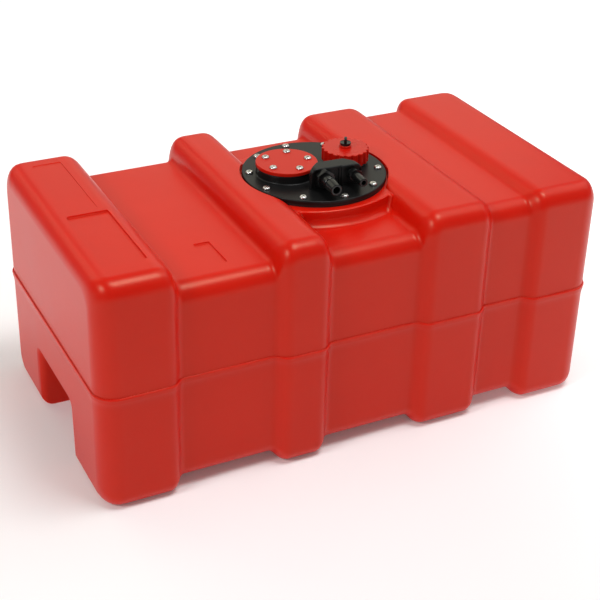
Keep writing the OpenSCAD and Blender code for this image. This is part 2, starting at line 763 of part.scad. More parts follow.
// Strainer: a sleeve on the tube, ribs down to an end plate, and a window between the ribs
module strainer_body() {
    sleeve_l = 3 * strainer_t;
    color(fitting_black) at_tube(strainer_z) {
        cylinder(d = strainer_d, h = strainer_t);
        translate([0, 0, strainer_h - 3 * strainer_t]) ring(strainer_d, tube_bore_d, strainer_t);
        translate([0, 0, strainer_h - 2 * strainer_t])
            ring(tube_d + 2 * fit_gap + 2 * strainer_t, tube_d + 2 * fit_gap, sleeve_l);
        round_about(strainer_d - strainer_t, strainer_ribs)
            translate([-strainer_t / 2, -strainer_t / 2, past / 2])
                cube([strainer_t, strainer_t, strainer_h - 2 * strainer_t - past]);
    }
}

module strainer_gauze() {
    outer_d = strainer_d - 2 * strainer_t - 2 * fit_gap;
    color(gauze_grey) at_tube(strainer_z + strainer_t)
        ring(outer_d, outer_d - 2 * gauze_t, strainer_h - 4 * strainer_t);
}

module cap_seal() {
    color(rubber_black) at_filler(neck_z) ring(neck_d, neck_bore_d + 2 * small_edge, cap_seal_t);
}

// Filler cap: a turned form with a boss, fluted round its grip
module filler_cap() {
    skirt_z = deck_z + cap_lift;
    outer_r = cap_d / 2;
    bore_r = neck_d / 2 + 2 * fit_gap;
    edge = 0.9;
    color(moulding_red) difference() {
        at_filler(0) rotate_extrude($fn = 96) polygon([
            [bore_r, skirt_z], [outer_r - small_edge, skirt_z], [outer_r, skirt_z + small_edge],
            [outer_r, cap_z - edge], [outer_r - edge, cap_z], [cap_boss_d / 2, cap_z],
            [cap_boss_d / 2, cap_boss_z - small_edge], [cap_boss_d / 2 - small_edge, cap_boss_z],
            [stem_d / 2 + fit_gap, cap_boss_z], [stem_d / 2 + fit_gap, roof_z], [bore_r, roof_z]]);
        at_filler(skirt_z - past) round_about(cap_d + 2 * (flute_r - flute_deep), flute_count, flute_turn)
            cylinder(r = flute_r, h = cap_z - skirt_z + 2 * past, $fn = 24);
    }
}

module vent_seal() {
    color(rubber_black) at_filler(cap_boss_z) ring(vent_seal_d, stem_d + 2 * fit_gap, vent_seal_t);
}

// Vent knob: stem, dished flange and a flat grip blade with a round top
module vent_knob() {
    stem_end = clip_z - clip_t;
    lip = 1;
    dish = 0.8;
    color(fitting_black) at_filler(0) {
        difference() {
            rotate_extrude() polygon([
                [0, stem_end], [stem_d / 2 - small_edge, stem_end], [stem_d / 2, stem_end + small_edge],
                [stem_d / 2, knob_z], [knob_d / 2 - small_edge, knob_z], [knob_d / 2, knob_z + small_edge],
                [knob_d / 2, knob_z + knob_t], [knob_d / 2 - lip, knob_z + knob_t],
                [blade_t / 2, knob_z + knob_t - dish], [0, knob_z + knob_t - dish]]);
            translate([0, 0, clip_z]) ring(stem_d + past, stem_d - 2 * small_edge, clip_t);
        }
        rotate([0, 0, blade_turn]) translate([0, blade_t / 2, knob_z + knob_t - dish - past / 2])
            rotate([90, 0, 0]) linear_extrude(blade_t) {
                translate([-blade_w / 2, 0]) square([blade_w, blade_h + dish - blade_w / 4]);
                translate([-blade_w / 4, 0]) square([blade_w / 2, blade_h + dish]);
                for (side = [-1, 1]) translate([side * blade_w / 4, blade_h + dish - blade_w / 4])
                    circle(blade_w / 4);
            }
    }
}

module vent_clip() {
    color(stainless) at_filler(clip_z + fit_gap)
        ring(clip_d, stem_d - 2 * small_edge + 2 * fit_gap, clip_t - 2 * fit_gap);
}

tank_shell();
flange_inserts();
flange_gasket();
flange_plate();
flange_screws();
sender_gasket();
sender_inserts();
sender_cover();
sender_screws();
vent_tail_seal();
vent_hose_tail();
fuel_tail_seal();
fuel_hose_tail();
pickup_tube();
strainer_body();
strainer_gauze();
cap_seal();
filler_cap();
vent_seal();
vent_knob();
vent_clip();
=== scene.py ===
import bmesh
import bpy
import math
import random
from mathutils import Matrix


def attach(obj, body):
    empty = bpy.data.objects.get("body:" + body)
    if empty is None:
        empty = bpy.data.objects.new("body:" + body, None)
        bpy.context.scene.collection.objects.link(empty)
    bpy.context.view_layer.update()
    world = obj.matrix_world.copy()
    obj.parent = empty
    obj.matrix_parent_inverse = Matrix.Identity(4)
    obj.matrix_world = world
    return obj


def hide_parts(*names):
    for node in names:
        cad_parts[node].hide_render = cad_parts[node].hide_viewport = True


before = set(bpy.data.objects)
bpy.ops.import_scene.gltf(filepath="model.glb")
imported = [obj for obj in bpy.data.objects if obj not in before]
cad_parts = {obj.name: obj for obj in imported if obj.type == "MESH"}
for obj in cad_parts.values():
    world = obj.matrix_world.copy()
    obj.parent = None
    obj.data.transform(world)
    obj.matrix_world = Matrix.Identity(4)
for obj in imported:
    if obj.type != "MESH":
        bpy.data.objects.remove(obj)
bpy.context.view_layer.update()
mm = 0.001  # all sizes below are in millimetres
near, nearer = 1e-5, 1e-6  # metres, for finding vertices by their place
clearZ = 330  # a height above the whole part, for cutting tools
blankR = 5  # a turned blank, before its rings are sized
sharpAngle = 0.5  # radians, the least angle of a rim
draw = random.Random(7)


def clearPick():
    if bpy.context.mode != "OBJECT":
        bpy.ops.object.mode_set(mode="OBJECT")
    bpy.ops.object.select_all(action="DESELECT")


def takeUp(piece):
    clearPick()
    bpy.context.view_layer.objects.active = piece
    piece.select_set(True)
    return piece


def openMesh(piece, mode="VERT"):
    takeUp(piece)
    bpy.ops.object.mode_set(mode="EDIT")
    bpy.ops.mesh.select_mode(type=mode)


def closeMesh():
    bpy.ops.object.mode_set(mode="OBJECT")


def pickVerts(piece, test):
    mesh = bmesh.from_edit_mesh(piece.data)
    for v in mesh.verts:
        v.select = bool(test(v.co))
    mesh.select_flush_mode()
    bmesh.update_edit_mesh(piece.data)


def pickFaces(piece, test):
    bpy.ops.mesh.select_mode(type="FACE")
    mesh = bmesh.from_edit_mesh(piece.data)
    for f in mesh.faces:
        f.select = bool(test(f.calc_center_median(), f.normal))
    mesh.select_flush_mode()
    bmesh.update_edit_mesh(piece.data)


def pickEdges(piece, test):
    bpy.ops.mesh.select_mode(type="EDGE")
    mesh = bmesh.from_edit_mesh(piece.data)
    count = 0
    for e in mesh.edges:
        a, b = (v.co for v in e.verts)
        e.select = bool(e.is_manifold and test(a, b, e.calc_face_angle_signed(0)))  # convex is positive
        count += e.select
    mesh.select_flush_mode()
    bmesh.update_edit_mesh(piece.data)
    return count


def settle(piece, name):
    takeUp(piece)
    bpy.ops.object.transform_apply(location=True, rotation=True, scale=True)
    piece.name = name
    piece.data.name = name
    return piece


def finishWith(piece, kind, **settings):
    takeUp(piece)
    modifier = piece.modifiers.new(kind.title(), kind)
    for key, value in settings.items():
        setattr(modifier, key, value)
    bpy.ops.object.modifier_apply(modifier=modifier.name)


def carve(piece, tool, how="DIFFERENCE"):
    finishWith(piece, "BOOLEAN", object=tool, operation=how, solver="MANIFOLD")
    bpy.data.objects.remove(tool)


def addCylinder(name, r, low, high, at=(0, 0), sides=96):
    clearPick()
    bpy.ops.mesh.primitive_cylinder_add(
        vertices=sides, radius=r * mm, depth=(high - low) * mm,
        location=(at[0] * mm, at[1] * mm, (low + high) / 2 * mm))
    return settle(bpy.context.object, name)


def addBlock(name, low, high):
    clearPick()
    bpy.ops.mesh.primitive_cube_add(size=1, location=[(a + b) / 2 * mm for a, b in zip(low, high)])
    piece = bpy.context.object
    piece.scale = [(b - a) * mm for a, b in zip(low, high)]
    return settle(piece, name)


def cutLevels(levels, normal=(0, 0, 1)):
    for level in levels:
        bpy.ops.mesh.select_all(action="SELECT")
        bpy.ops.mesh.bisect(plane_co=[n * level * mm for n in normal], plane_no=normal)


def roundEdges(piece, test, r, steps=4):
    openMesh(piece, "EDGE")
    if pickEdges(piece, test):
        bpy.ops.mesh.bevel(offset=r * mm, segments=steps, affect="EDGES", clamp_overlap=False)
    closeMesh()


def isRim(z, slack=0.01):
    return lambda a, b, angle: max(abs(a.z - z * mm), abs(b.z - z * mm)) < slack * mm and angle > sharpAngle


def turnProfile(piece, rings):
    # rings are (height, radius); the cylinder about Z is cut at each height and its loop is sized
    base = max(v.co.xy.length for v in piece.data.vertices)
    openMesh(piece)
    cutLevels([z for z, r in rings[1:-1]])
    for z, r in rings:
        pickVerts(piece, lambda co: abs(co.z - z * mm) < nearer)
        share = r * mm / base
        bpy.ops.transform.resize(value=(share, share, 1), center_override=(0, 0, 0))
    closeMesh()


def moveTo(piece, at=(0, 0, 0), turn=0, tilt=0):
    takeUp(piece)
    piece.rotation_euler = (math.radians(tilt), 0, math.radians(turn))
    piece.location = [v * mm for v in at]
    bpy.ops.object.transform_apply(location=True, rotation=True, scale=True)


def joinAll(pieces, name):
    clearPick()
    for p in pieces:
        p.select_set(True)
    bpy.context.view_layer.objects.active = pieces[0]
    if len(pieces) > 1:
        bpy.ops.object.join()
    return settle(pieces[0], name)


def smooth(piece, angle=32):
    takeUp(piece)
    bpy.ops.object.shade_smooth_by_angle(angle=math.radians(angle))
    finishWith(piece, "WEIGHTED_NORMAL", keep_sharp=True, weight=50)


def fit(piece, body, nodes, finish):
    piece.data.materials.clear()
    piece.data.materials.append(finish)
    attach(piece, body)
    for node in nodes:
        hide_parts(node)


class Value:
    def __init__(self, finish, socket):
        self.finish, self.socket = finish, socket

    def maths(self, how, first, second):
        return self.finish.node("ShaderNodeMath", dict(operation=how), {0: first, 1: second})

    def __add__(self, other):
        return self.maths("ADD", self, other)

    def __radd__(self, other):
        return self.maths("ADD", other, self)

    def __sub__(self, other):
        return self.maths("SUBTRACT", self, other)

    def __rsub__(self, other):
        return self.maths("SUBTRACT", other, self)

    def __mul__(self, other):
        return self.maths("MULTIPLY", self, other)

    def __rmul__(self, other):
        return self.maths("MULTIPLY", other, self)


class Finish:
    def __init__(self, name):
        self.material = bpy.data.materials.new(name)
        self.material.use_nodes = True
        self.tree = self.material.node_tree
        self.tree.nodes.clear()
        self.shader = self.tree.nodes.new("ShaderNodeBsdfPrincipled")
        out = self.tree.nodes.new("ShaderNodeOutputMaterial")
        self.tree.links.new(self.shader.outputs[0], out.inputs[0])
        coords = self.tree.nodes.new("ShaderNodeTexCoord")
        self.place = Value(self, coords.outputs["Object"])

    def node(self, kind, settings, sockets, out=0):
        made = self.tree.nodes.new(kind)
        for key, value in settings.items():
            if key == "stops":
                ramp = made.color_ramp.elements
                while len(ramp) < len(value):
                    ramp.new(0.5)
                for stop, (at, colour) in zip(ramp, value):
                    stop.position, stop.color = at, colour
            else:
                setattr(made, key, value)
        for key, value in sockets.items():
            self.plug(made.inputs[key], value)
        return Value(self, made.outputs[out])

    def plug(self, socket, value):
        if isinstance(value, Value):
            self.tree.links.new(value.socket, socket)
        else:
            socket.default_value = value

    def noise(self, scale, detail=3, rough=0.5):
        sockets = {"Vector": self.place, "Scale": scale, "Detail": detail, "Roughness": rough}
        return self.node("ShaderNodeTexNoise", {}, sockets, "Fac")

    def wave(self, scale, along):
        sockets = {"Vector": self.place, "Scale": scale}
        return self.node("ShaderNodeTexWave", dict(bands_direction=along), sockets, "Fac")

    def axis(self, name):
        return self.node("ShaderNodeSeparateXYZ", {}, {"Vector": self.place}, name)

    def ramp(self, value, *stops):
        return self.node("ShaderNodeValToRGB",
                         dict(stops=[(at, (g, g, g, 1)) for at, g in stops]), {"Fac": value}, "Color")

    def rise(self, value, low, high):
        return self.node("ShaderNodeMapRange", dict(interpolation_type="SMOOTHSTEP"),
                         {"Value": value, "From Min": low, "From Max": high})

    def mix(self, share, a, b):
        return self.node("ShaderNodeMix", dict(data_type="RGBA"), {0: share, 6: a, 7: b}, 2)

    def bump(self, height, deep, strength=1.0, normal=None):
        sockets = {"Height": height, "Distance": deep * mm, "Strength": strength}
        if normal:
            sockets["Normal"] = normal
        return self.node("ShaderNodeBump", {}, sockets, "Normal")

    def set(self, **sockets):
        for key, value in sockets.items():
            self.plug(self.shader.inputs[key.replace("_", " ")], value)
        return self.material


plastic = dict(
    ior=1.5, spread=(1, 0.15, 0.08), spreadScale=0.006,  # how far light spreads inside, in metres
    cloud=(9, 4, 0.55), speck=(420, 2, 0.6), scuff=(55, 6, 0.72), swell=(13, 2, 0.4),  # noise textures
    speckShare=0.06, speckPale=(1.5, 0.01), grainDeep=0.05, grainShare=0.35,
    cloudDull=0.06, scuffDull=0.02)  # how much they add to the roughness


def moulded(name, colour, pale, gloss, grain, wave=0.0, shine=0.5, warm=(1, 1, 1, 1), soft=0.0):
    # cloudy colour, fine grain, a faint wave of the wall, dull scuffs and light that spreads inside
    f, p = Finish(name), plastic
    cloud = f.noise(*p["cloud"])
    speck = f.ramp(f.noise(*p["speck"]), (0.62, 0), (0.72, 1))
    scuff = f.ramp(f.noise(*p["scuff"]), (0.6, 0), (0.74, 1))
    tint = f.mix(f.ramp(cloud, (0.3, 0), (0.7, 1)), colour, pale)
    gain, lift = p["speckPale"]
    tint = f.mix(speck * p["speckShare"], tint, (*[min(1, c * gain + lift) for c in pale[:3]], 1))
    normal = f.bump(f.noise(grain, 2, 0.5), p["grainDeep"], p["grainShare"])
    if wave:
        normal = f.bump(f.noise(*p["swell"]), wave, 1.0, normal)
    dull = gloss + cloud * p["cloudDull"] + scuff * p["scuffDull"] - p["cloudDull"] / 2
    f.set(IOR=p["ior"], Specular_IOR_Level=shine, Specular_Tint=warm)
    f.set(Subsurface_Weight=soft, Subsurface_Radius=p["spread"], Subsurface_Scale=p["spreadScale"])
    return f.set(Base_Color=tint, Roughness=dull, Normal=normal)


def brightSteel():
    f = Finish("screwSteel")
    lines = f.noise(900, 3, 0.6)
    tone = f.mix(f.noise(160, 3), (0.62, 0.61, 0.59, 1), (0.8, 0.79, 0.77, 1))
    f.set(Metallic=1.0)
    return f.set(Base_Color=tone, Roughness=0.2 + lines * 0.12, Normal=f.bump(lines, 0.03, 0.4))


def turnedBrass():
    f = Finish("insertBrass")
    rings = f.wave(320, "Z")
    tone = f.mix(f.noise(120), (0.5, 0.33, 0.11, 1), (0.62, 0.43, 0.16, 1))
    f.set(Metallic=1.0)
    return f.set(Base_Color=tone, Roughness=0.26 + rings * 0.1, Normal=f.bump(rings, 0.06, 0.5))


def sealRubber():
    f = Finish("sealRubber")
    dust = f.ramp(f.noise(70, 5, 0.7), (0.5, 0), (0.75, 1))
    tone = f.mix(dust * 0.5, (0.008, 0.008, 0.008, 1), (0.03, 0.029, 0.028, 1))
    return f.set(Base_Color=tone, Roughness=0.62 + dust * 0.15, Normal=f.bump(f.noise(800), 0.04, 0.5))


def wovenGauze():
    f = Finish("gauzeSteel")
    weave = f.wave(420, "Z") * f.wave(420, "DIAGONAL")
    f.set(Metallic=1.0)
    return f.set(Base_Color=f.mix(weave, (0.2, 0.2, 0.19, 1), (0.6, 0.6, 0.58, 1)),
                 Roughness=0.5 - weave * 0.2, Normal=f.bump(weave, 0.15, 0.8))


warmSheen = (1, 0.87, 0.6, 1)
tankRed = moulded("tankRed", (0.62, 0.007, 0.0015, 1), (0.65, 0.009, 0.002, 1),
                  gloss=0.33, grain=650, wave=0.4, shine=0.35, warm=warmSheen, soft=0.8)
coverRed = moulded("coverRed", (0.54, 0.008, 0.002, 1), (0.58, 0.01, 0.003, 1),
                   gloss=0.32, grain=800, shine=0.25, warm=warmSheen)
capRed = moulded("capRed", (0.52, 0.006, 0.002, 1), (0.56, 0.008, 0.003, 1),
                 gloss=0.27, grain=800, shine=0.28, warm=warmSheen)
fittingBlack = moulded("fittingBlack", (0.006, 0.006, 0.006, 1), (0.009, 0.009, 0.009, 1),
                       gloss=0.36, grain=900, shine=0.25)
tailBlack = moulded("tailBlack", (0.005, 0.005, 0.005, 1), (0.008, 0.008, 0.008, 1),
                    gloss=0.2, grain=900, shine=0.4)
tubeBlack = moulded("tubeBlack", (0.015, 0.015, 0.015, 1), (0.022, 0.022, 0.022, 1), gloss=0.4, grain=500)
screwSteel, insertBrass = brightSteel(), turnedBrass()
rubber, gauze = sealRubber(), wovenGauze()
print("finishes done")


# the tank body is a rounded section swept from end to end
tankSize = dict(
    length=650, width=350, height=292, wall=5,
    endR=27, topR=20, frontR=22, edgeR=18,  # upright corners, ends' top, front top and other edges
    troughs=((-168, 120, 27.5), (18, 120, 27.5), (199, 60, 11.5)),  # middle, width, depth in the top
    shoulderR=21.5, footR=8, steep=80,  # the troughs in the top, with their steepest slope
    sideDeep=11, sideFlare=3, sideShoulderR=16, sideFootR=12,  # the troughs in the sides and underneath
    apart=0.15)  # least step between two sections


def flankAngle(deep, crownR, footR):
    steep = math.radians(tankSize["steep"])
    if deep >= (crownR + footR) * (1 - math.cos(steep)):
        return steep
    return math.acos(1 - deep / (crownR + footR))


def flankRun(deep, crownR, footR):
    a = flankAngle(deep, crownR, footR)
    return max(0, deep - (crownR + footR) * (1 - math.cos(a))) / math.tan(a) / 2


def flankDepth(u, deep, crownR, footR):
    a, s = flankAngle(deep, crownR, footR), flankRun(deep, crownR, footR)
    crown, foot = -crownR * math.sin(a) - s, footR * math.sin(a) + s
    if u <= crown:
        return 0
    if u < -s:
        return crownR - math.sqrt(crownR ** 2 - (u - crown) ** 2)
    if u <= s:
        return crownR * (1 - math.cos(a)) + (u + s) * math.tan(a)
    if u < foot:
        return deep - footR + math.sqrt(footR ** 2 - (foot - u) ** 2)
    return deep


def troughDepth(x, inset, inTop):
    t, depth = tankSize, 0
    for middle, width, topDeep in t["troughs"]:
        deep = topDeep if inTop else t["sideDeep"]
        crownR = t["shoulderR"] if inTop else t["sideShoulderR"]
        footR = t["footR"] if inTop else t["sideFootR"]
        half = width / 2 + (0 if inTop else t["sideFlare"])
        half += inset * math.sin(flankAngle(deep, crownR, footR))
        depth += flankDepth(half - abs(x - middle), deep, crownR - inset, footR + inset)
    return depth


def endDraw(t, r):
    return 0 if t >= r else r - math.sqrt(max(0, r * r - (r - max(t, 0)) ** 2))


def section(x, inset):
    t = tankSize
    fromEnd = t["length"] / 2 - inset - abs(x)
    side = troughDepth(x, inset, False)
    half = t["width"] / 2 - inset - side - endDraw(fromEnd, t["endR"] - inset)
    low = inset + side + endDraw(fromEnd, t["edgeR"] - inset)
    high = t["height"] - inset - troughDepth(x, inset, True) - endDraw(fromEnd, t["topR"] - inset)
    return half, low, high


def stations(inset, endSteps, crownSteps, footSteps):
    t = tankSize
    half = t["length"] / 2 - inset
    ends = [(t["endR"] - inset) * (1 - math.cos(math.pi / 2 * i / endSteps)) for i in range(endSteps + 1)]
    xs = [e - half for e in ends] + [half - e for e in ends]
    for middle, width, deep in t["troughs"]:
        crownR, footR = t["shoulderR"] - inset, t["footR"] + inset
        a, s = flankAngle(deep, crownR, footR), flankRun(deep, crownR, footR)
        us = [-s - crownR * (math.sin(a) - math.sin(a * i / crownSteps)) for i in range(crownSteps + 1)]
        us += [s + footR * (math.sin(a) - math.sin(a * i / footSteps)) for i in range(footSteps + 1)]
        us += [footR * math.sin(a) + s + t["sideFlare"], -s - crownR * math.sin(a) - t["sideFlare"]]
        for u in us:
            reach = width / 2 - u + inset * math.sin(a)
            xs += [middle - reach, middle + reach]
    xs = sorted(xs)
    return [x for i, x in enumerate(xs) if i == 0 or x - xs[i - 1] > t["apart"]]


def sweepBody(name, inset, edgeSteps, xs):
    half, low, high = section(xs[0], inset)
    clearPick()
    bpy.ops.mesh.primitive_plane_add(size=1, location=(xs[0] * mm, 0, (low + high) / 2 * mm),
                                     rotation=(0, math.pi / 2, 0))
    body = bpy.context.object
    body.scale = ((high - low) * mm, 2 * half * mm, 1)
    settle(body, name)
    openMesh(body)
    for r, front in ((tankSize["frontR"], True), (tankSize["edgeR"], False)):
        pickVerts(body, lambda co: (co.y < 0 and co.z > (low + high) / 2 * mm) == front)
        bpy.ops.mesh.bevel(offset=(r - inset) * mm, segments=edgeSteps, affect="VERTICES")
    bpy.ops.mesh.select_all(action="SELECT")
    for a, b in zip(xs, xs[1:]):
        bpy.ops.mesh.extrude_region_move(TRANSFORM_OT_translate={"value": ((b - a) * mm, 0, 0)})
        newHalf, newLow, newHigh = section(b, inset)
        middle = (low + high) / 2 * mm
        for side in (-1, 1):
            for lift, above in ((newHigh - high, True), (newLow - low, False)):
                pickVerts(body, lambda co: abs(co.x - b * mm) < nearer and co.y * side > 0
                          and (co.z > middle) == above)
                bpy.ops.transform.translate(value=(0, side * (newHalf - half) * mm, lift * mm))
        pickVerts(body, lambda co: abs(co.x - b * mm) < nearer)
        half, low, high = newHalf, newLow, newHigh
    closeMesh()
    return body


beltRings = (  # height, how far the belt stands out
    (136, 0), (140, 0.3), (143.5, 0.7), (144.3, 1.45), (145, 1.8),
    (149.4, 2), (150.1, 1.85), (150.5, 1.3), (150.9, 0.5), (151.5, 0))


def addBelt(body):
    openMesh(body)
    cutLevels([z for z, out in beltRings])
    for z, out in beltRings:
        if out:
            pickVerts(body, lambda co: abs(co.z - z * mm) < near)
            bpy.ops.transform.shrink_fatten(value=out * mm)
    closeMesh()


padSize = dict(
    x=18, z=283.5, floor=264.5, r=122, reach=97, rim=2, cove=11, coveSteps=7, sink=3, bite=0.4,
    span=(70, 150), spanZ=(200, 300),  # half sizes and heights of the box that the pad is cut to
    recessR=91.1, portR=67, portZ=(260, 300), solid=12.5, pocketLow=250, seam=0.05,
    webR=7, webCuts=(1.5, 3, 4.2, 5.2, 5.9, 6.4, 6.75, 6.95), flank=60, flankZ=275, flankLean=18)


def webPad(drum, side):
    # the wall curves forward where it meets the flank of a lobe
    p = padSize
    lean = math.radians(p["flankLean"])

    def past(co):
        flank = p["flank"] + (co.z / mm - p["flankZ"]) * math.tan(lean)
        return min(p["webR"], round(abs(co.x / mm - p["x"]) - flank + p["webR"], 1))
    for end in (-1, 1):
        across = (end * math.cos(lean), 0, -math.sin(lean))
        for cut in p["webCuts"]:
            x = p["x"] + end * (p["flank"] - p["webR"] + cut)
            cutLevels([x * across[0] + p["flankZ"] * across[2]], across)
    steps = {past(v.co) for v in bmesh.from_edit_mesh(drum.data).verts}
    for step in sorted(s for s in steps if s > 0):
        pickVerts(drum, lambda co: co.y * side < 0 and past(co) == step)
        out = p["webR"] - math.sqrt(p["webR"] ** 2 - step ** 2)
        bpy.ops.transform.translate(value=(0, -side * out * mm, 0))


def padRound(side):
    p = padSize
    shift = side * (p["r"] - p["reach"])
    drum = addCylinder("padRound", p["r"], p["floor"] - p["sink"], p["z"], (p["x"], shift), 192)
    openMesh(drum)
    angles = [math.pi / 2 * i / p["coveSteps"] for i in range(p["coveSteps"] + 1)]
    heights = [p["floor"] - p["bite"] + p["cove"] * (1 - math.cos(a)) for a in angles]
    cutLevels(heights)
    for i, (a, z) in enumerate(zip(angles, heights)):
        share = (p["r"] + p["cove"] * (1 - math.sin(a))) / p["r"]
        pickVerts(drum, lambda co: abs(co.z - z * mm) < near or (i == 0 and co.z < z * mm))
        bpy.ops.transform.resize(value=(share, share, 1), center_override=(p["x"] * mm, shift * mm, 0))
    webPad(drum, side)
    closeMesh()
    return drum


def addPad(body):
    p = padSize
    (alongX, alongY), (low, high) = p["span"], p["spanZ"]
    pad = padRound(1)
    carve(pad, padRound(-1), "INTERSECT")
    roundEdges(pad, isRim(p["z"]), p["rim"], 3)
    span = addBlock("padSpan", (p["x"] - alongX, -alongY, low), (p["x"] + alongX, alongY, high))
    carve(pad, span, "INTERSECT")
    carve(body, pad, "UNION")
    carve(body, addCylinder("recess", p["recessR"], p["z"], clearZ, (p["x"], 0), 192))


holdSize = dict(foot=64, lean=4, top=90, under=5, cornerR=12, deep=75,
                mouthR=10, mouthTurn=82, steps=6, past=3)  # mouthTurn is in degrees


def holdTool(end, grow):
    h = holdSize
    half, top = h["foot"] + grow, h["top"] + grow
    endX = tankSize["length"] / 2
    x = endX - h["deep"] - grow
    clearPick()
    bpy.ops.mesh.primitive_plane_add(size=1, location=(x * mm, 0, (top - h["under"]) / 2 * mm),
                                     rotation=(0, math.pi / 2, 0))
    tool = bpy.context.object
    tool.scale = ((top + h["under"]) * mm, 2 * half * mm, 1)
    settle(tool, "holdTool")
    openMesh(tool)
    pickVerts(tool, lambda co: co.z > 0)
    bpy.ops.transform.resize(value=(1, 1 - h["lean"] / half, 1), center_override=(x * mm, 0, 0))
    bpy.ops.mesh.bevel(offset=(h["cornerR"] + grow) * mm, segments=h["steps"], affect="VERTICES")
    bpy.ops.mesh.select_all(action="SELECT")
    turn = math.radians(h["mouthTurn"])
    path = [(endX - h["mouthR"] * (1 - math.sin(turn * i / h["steps"])),
             h["mouthR"] * (1 - math.cos(turn * i / h["steps"]))) for i in range(h["steps"] + 1)]
    path.append((endX + h["past"], path[-1][1] + (endX + h["past"] - path[-1][0]) * math.tan(turn)))
    flare = 0
    for nextX, nextFlare in path:
        bpy.ops.mesh.extrude_region_move(TRANSFORM_OT_translate={"value": ((nextX - x) * mm, 0, 0)})
        for side in (-1, 1):
            pickVerts(tool, lambda co: abs(co.x - nextX * mm) < nearer and co.y * side > 0)
            bpy.ops.transform.translate(value=(0, side * (nextFlare - flare) * mm, 0))
        pickVerts(tool, lambda co: abs(co.x - nextX * mm) < nearer)
        x, flare = nextX, nextFlare
    if end < 0:
        bpy.ops.mesh.select_all(action="SELECT")
        bpy.ops.transform.resize(value=(-1, 1, 1), center_override=(0, 0, 0))
        bpy.ops.mesh.normals_make_consistent(inside=False)
    closeMesh()
    return tool


panels = (  # low corner, high corner, depth, corner radius, level
    ((-298.5, -132), (-248.5, -3), 2.4, 3, tankSize["height"]),
    ((-293, 6), (-257, 146), 0.8, 3, tankSize["height"]),
    ((-173, -127), (-153, -73.5), 1.8, 2, padSize["floor"]))
panelCove, panelLift = 0.65, 5  # rounded share of the depth, height of the tool above the level


def panelTool(low, high, deep, r, level):
    tool = addBlock("panelTool", (*low, level - deep), (*high, level + panelLift))
    roundEdges(tool, lambda a, b, angle: abs(a.z - b.z) > 10 * near, r, 4)
    roundEdges(tool, lambda a, b, angle: max(a.z, b.z) < (level - deep) * mm + near, deep * panelCove, 3)
    return tool


def hollow(body):
    p, wall = padSize, tankSize["wall"]
    cavity = sweepBody("cavity", wall, 4, stations(wall, 4, 4, 4))
    for end in (-1, 1):
        carve(cavity, holdTool(end, wall))
    roof = p["z"] - p["solid"]
    middle = (p["x"], 0)
    carve(cavity, addCylinder("padSolid", p["recessR"] + wall, roof, clearZ, middle, 96))
    pocket = addCylinder("padPocket", p["reach"] - 2 * wall, p["pocketLow"], roof + p["seam"], middle, 96)
    carve(cavity, pocket, "UNION")
    carve(body, cavity)
    carve(body, addCylinder("port", p["portR"], *p["portZ"], middle, 128))


def makeTank():
    body = sweepBody("tankBody", 0, 8, stations(0, 8, 8, 6))
    addBelt(body)
    addPad(body)
    for end in (-1, 1):
        carve(body, holdTool(end, 0))
    for panel in panels:
        carve(body, panelTool(*panel))
    hollow(body)
    smooth(body, 30)
    fit(body, "tank", ["tank_shell"], tankRed)


makeTank()
print("tank body done")

# fittings on the flange plate
deckZ = 291.5
plateX = padSize["x"]
throughZ = (270, 320)  # heights between which a tool cuts right through the fittings
plateSize = dict(r=88.5, low=286.5, rim=1.3, lowRim=0.6, foot=1.6, sink=1, bossRim=0.6,
                 screwR=79.5, screws=10, first=90, screwL=15.5, holeR=2.75, holeZ=(280, 300))
bossSize = dict(at=(-33.5, 8.5), r=37, top=301, portR=20,
                screwR=27, screws=5, first=64, screwL=10.9, insertR=4.05, insertL=8)
neckSize = dict(at=(47.2, 9), boreR=17, rootR=20.5, ridgeR=21.45, top=306, rim=0.5,
                collarR=25, collarTop=294.1, lead=6, turns=1.2, threadUp=2.6)
blockSize = dict(left=-28, split=12, right=39, front=-51, step=1.5, back=-31, top=317.5, turn=-3,
                 endR=9, endLow=300, cut=16.5, frontR=4.5, sideR=2.5, edge=1.6, edgeAngle=0.45, lip=2.2,
                 pocket=1.5, sink=2, toolSink=3, toolY=(-90, -10), sideLow=(-90, -99, 280))
tubeSize = dict(at=(25.72, -44.3), r=9, low=274.5, top=290.5, boreR=5.05)


def onRing(r, count, first, at=(0, 0)):
    for i in range(count):
        a = math.radians(first + 360 * i / count)
        yield plateX + at[0] + r * math.cos(a), at[1] + r * math.sin(a)


def onPlate(at):
    return plateX + at[0], at[1]


def onBlock(x, y, z):
    a = math.radians(blockSize["turn"])
    return plateX + x * math.cos(a) - y * math.sin(a), x * math.sin(a) + y * math.cos(a), z


def footRings(steps=4):
    r = plateSize["foot"]  # a hollow fillet where a form meets the plate
    angles = [math.pi / 2 * i / steps for i in range(steps + 1)]
    return [(deckZ + r * (1 - math.cos(a)), r * (1 - math.sin(a))) for a in angles]


def addBoss(name, r, top, at, sides):
    low = deckZ - plateSize["sink"]
    boss = addCylinder(name, r, low, top, (0, 0), sides)
    foot = [(low, r + plateSize["foot"])] + [(z, r + out) for z, out in footRings()]
    turnProfile(boss, foot + [(top, r)])
    roundEdges(boss, isRim(top), plateSize["bossRim"], 3)
    moveTo(boss, (*onPlate(at), 0))
    return boss


def blockOutline(left, right, lip, front, back):
    b = blockSize
    low = deckZ + plateSize["foot"] if lip else deckZ - b["toolSink"]
    tool = addBlock("outline", (left + lip, front, low), (right - lip, back, b["top"] - lip))
    roundEdges(tool, lambda p, q, angle: abs(p.y - q.y) > 1 * mm and p.z > b["endLow"] * mm,
               b["endR"] - lip, 8)
    return tool


